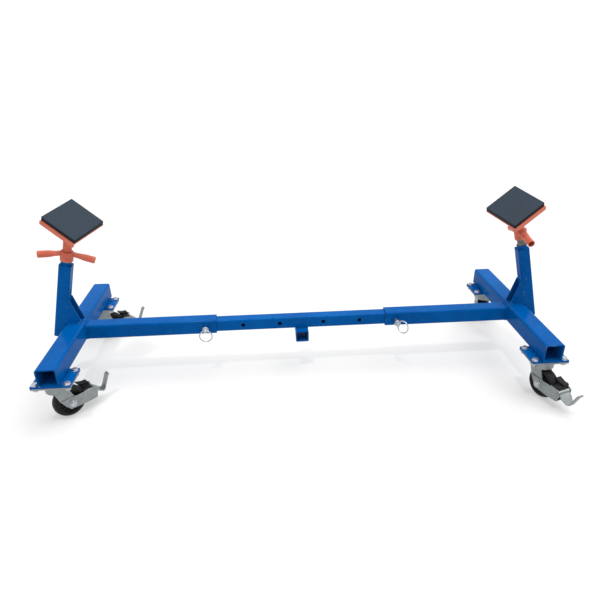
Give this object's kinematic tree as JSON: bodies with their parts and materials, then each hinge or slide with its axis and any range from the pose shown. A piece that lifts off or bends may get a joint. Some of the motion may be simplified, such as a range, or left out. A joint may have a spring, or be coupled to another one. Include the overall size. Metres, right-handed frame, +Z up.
{
  "type": "vehicle body dolly",
  "caption": "Telescoping body dolly: two T-shaped ends with leaning screw posts and tilting rubber pads, joined by a pinned bar, on locking swivel casters.",
  "frame": {"origin": "on the floor under the middle of the telescoping bar", "axes": "+Z up, +X along the telescoping bar to the right end, -Y to the front where the lock pins face"},
  "size_m": [1.658, 0.802, 0.6],
  "materials": {
    "blue_paint": "gloss",
    "orange_paint": "gloss",
    "zinc": "satin",
    "galvanised": "satin",
    "pad_rubber": "matte",
    "wheel_rubber": "satin"
  },
  "bodies": {
    "centre": {"centre_bar": "blue_paint", "receiver_stub": "blue_paint"},
    "left_frame": {"left_cross_tube": "blue_paint", "left_arm": "blue_paint", "left_post": "blue_paint", "left_gusset": "blue_paint", "left_sleeve": "blue_paint", "left_mount_plates": "blue_paint", "left_mount_bolts": "zinc", "left_thrust_washer": "zinc", "fl_top_plate": "galvanised", "rl_top_plate": "galvanised"},
    "left_rod": {"left_rod": "orange_paint"},
    "left_nut": {"left_nut": "orange_paint", "left_handle": "orange_paint"},
    "left_head": {"left_swivel_head": "orange_paint"},
    "left_pad": {"left_pad_plate": "orange_paint", "left_pad_rubber": "pad_rubber"},
    "left_lock_pin": {"left_lock_pin": "zinc"},
    "left_ring": {"left_pin_ring": "zinc"},
    "fl_swivel": {"fl_fork": "galvanised", "fl_brake_frame": "galvanised", "fl_axle": "zinc"},
    "fl_wheel": {"fl_wheel": "wheel_rubber"},
    "fl_pedal": {"fl_pedal": "galvanised"},
    "rl_swivel": {"rl_fork": "galvanised", "rl_brake_frame": "galvanised", "rl_axle": "zinc"},
    "rl_wheel": {"rl_wheel": "wheel_rubber"},
    "rl_pedal": {"rl_pedal": "galvanised"},
    "right_frame": {"right_cross_tube": "blue_paint", "right_arm": "blue_paint", "right_post": "blue_paint", "right_gusset": "blue_paint", "right_sleeve": "blue_paint", "right_mount_plates": "blue_paint", "right_mount_bolts": "zinc", "fr_top_plate": "galvanised", "rr_top_plate": "galvanised"},
    "right_rod": {"right_rod": "orange_paint"},
    "right_collar": {"right_thrust_washer": "zinc"},
    "right_nut": {"right_nut": "orange_paint", "right_handle": "orange_paint"},
    "right_head": {"right_swivel_head": "orange_paint"},
    "right_pad": {"right_pad_plate": "orange_paint", "right_pad_rubber": "pad_rubber"},
    "right_lock_pin": {"right_lock_pin": "zinc"},
    "right_ring": {"right_pin_ring": "zinc"},
    "fr_swivel": {"fr_fork": "galvanised", "fr_brake_frame": "galvanised", "fr_axle": "zinc"},
    "fr_wheel": {"fr_wheel": "wheel_rubber"},
    "fr_pedal": {"fr_pedal": "galvanised"},
    "rr_swivel": {"rr_fork": "galvanised", "rr_brake_frame": "galvanised", "rr_axle": "zinc"},
    "rr_wheel": {"rr_wheel": "wheel_rubber"},
    "rr_pedal": {"rr_pedal": "galvanised"}
  },
  "joints": [
    {"name": "left_arm_slide", "type": "slide", "parent": "centre", "child": "left_frame", "axis": [1, 0, 0], "range_m": [0, 0.25]},
    {"name": "left_rod_lift", "type": "slide", "parent": "left_frame", "child": "left_rod", "axis": [0.2672, 0, 0.9636], "range_m": [0, 0.08]},
    {"name": "left_nut_turn", "type": "hinge", "parent": "left_frame", "child": "left_nut", "pos_m": [-0.74145, 0, 0.4054], "axis": [0.2672, 0, 0.9636], "range_deg": [-7200, 0]},
    {"name": "left_head_swivel", "type": "hinge", "parent": "left_rod", "child": "left_head", "pos_m": [-0.74145, 0, 0.4054], "axis": [0.2672, 0, 0.9636], "continuous": true},
    {"name": "left_pad_tilt", "type": "hinge", "parent": "left_head", "child": "left_pad", "pos_m": [-0.70804, 0, 0.52585], "axis": [0.9215, 0.2924, -0.2556], "range_deg": [-51, 0]},
    {"name": "left_lock_pin_slide", "type": "slide", "parent": "left_frame", "child": "left_lock_pin", "axis": [0, 1, 0], "range_m": [0, 0.007]},
    {"name": "left_ring_swing", "type": "hinge", "parent": "left_lock_pin", "child": "left_ring", "pos_m": [-0.3245, -0.049, 0.169], "axis": [1, 0, 0], "range_deg": [-100, 24]},
    {"name": "fl_caster_swivel", "type": "hinge", "parent": "left_frame", "child": "fl_swivel", "pos_m": [-0.75, -0.2484, 0.125], "axis": [0, 0, 1], "continuous": true},
    {"name": "fl_wheel_spin", "type": "hinge", "parent": "fl_swivel", "child": "fl_wheel", "pos_m": [-0.73418, -0.23312, 0.05], "axis": [-0.6947, 0.7193, 0], "continuous": true},
    {"name": "fl_pedal_press", "type": "hinge", "parent": "fl_swivel", "child": "fl_pedal", "pos_m": [-0.67951, -0.18032, 0.061], "axis": [-0.6947, 0.7193, 0], "range_deg": [0, 30]},
    {"name": "rl_caster_swivel", "type": "hinge", "parent": "left_frame", "child": "rl_swivel", "pos_m": [-0.75, 0.2484, 0.125], "axis": [0, 0, 1], "continuous": true},
    {"name": "rl_wheel_spin", "type": "hinge", "parent": "rl_swivel", "child": "rl_wheel", "pos_m": [-0.73095, 0.2594, 0.05], "axis": [-0.5, 0.866, 0], "continuous": true},
    {"name": "rl_pedal_press", "type": "hinge", "parent": "rl_swivel", "child": "rl_pedal", "pos_m": [-0.66513, 0.2974, 0.061], "axis": [-0.5, 0.866, 0], "range_deg": [0, 30]},
    {"name": "right_arm_slide", "type": "slide", "parent": "centre", "child": "right_frame", "axis": [-1, 0, 0], "range_m": [0, 0.25]},
    {"name": "right_rod_lift", "type": "slide", "parent": "right_frame", "child": "right_rod", "axis": [-0.2672, 0, 0.9636], "range_m": [0, 0.08]},
    {"name": "right_collar_slide", "type": "slide", "parent": "right_rod", "child": "right_collar", "axis": [-0.2672, 0, 0.9636], "range_m": [-0.0205, 0]},
    {"name": "right_nut_turn", "type": "hinge", "parent": "right_collar", "child": "right_nut", "pos_m": [0.74145, 0, 0.4054], "axis": [-0.2672, 0, 0.9636], "range_deg": [-1844, 0]},
    {"name": "right_head_swivel", "type": "hinge", "parent": "right_rod", "child": "right_head", "pos_m": [0.74145, 0, 0.4054], "axis": [-0.2672, 0, 0.9636], "continuous": true},
    {"name": "right_pad_tilt", "type": "hinge", "parent": "right_head", "child": "right_pad", "pos_m": [0.70804, 0, 0.52585], "axis": [-0.9215, 0.2924, -0.2556], "range_deg": [0, 51]},
    {"name": "right_lock_pin_slide", "type": "slide", "parent": "right_frame", "child": "right_lock_pin", "axis": [0, 1, 0], "range_m": [0, 0.022]},
    {"name": "right_ring_swing", "type": "hinge", "parent": "right_lock_pin", "child": "right_ring", "pos_m": [0.3245, -0.064, 0.169], "axis": [0.1736, 0, 0.9848], "range_deg": [-45, 70]},
    {"name": "fr_caster_swivel", "type": "hinge", "parent": "right_frame", "child": "fr_swivel", "pos_m": [0.75, -0.2484, 0.125], "axis": [0, 0, 1], "continuous": true},
    {"name": "fr_wheel_spin", "type": "hinge", "parent": "fr_swivel", "child": "fr_wheel", "pos_m": [0.75752, -0.26907, 0.05], "axis": [0.9397, 0.342, 0], "continuous": true},
    {"name": "fr_pedal_press", "type": "hinge", "parent": "fr_swivel", "child": "fr_pedal", "pos_m": [0.78352, -0.34049, 0.061], "axis": [0.9397, 0.342, 0], "range_deg": [0, 30]},
    {"name": "rr_caster_swivel", "type": "hinge", "parent": "right_frame", "child": "rr_swivel", "pos_m": [0.75, 0.2484, 0.125], "axis": [0, 0, 1], "continuous": true},
    {"name": "rr_wheel_spin", "type": "hinge", "parent": "rr_swivel", "child": "rr_wheel", "pos_m": [0.75752, 0.26907, 0.05], "axis": [-0.9397, 0.342, 0], "continuous": true},
    {"name": "rr_pedal_press", "type": "hinge", "parent": "rr_swivel", "child": "rr_pedal", "pos_m": [0.78352, 0.34049, 0.061], "axis": [-0.9397, 0.342, 0], "range_deg": [0, 30]}
  ],
  "couplings": [
    {"joint": "left_rod_lift", "follows": "left_nut_turn", "m_per_rad": -0.00063662},
    {"joint": "right_collar_slide", "follows": "right_nut_turn", "m_per_rad": 0.00063662}
  ]
}
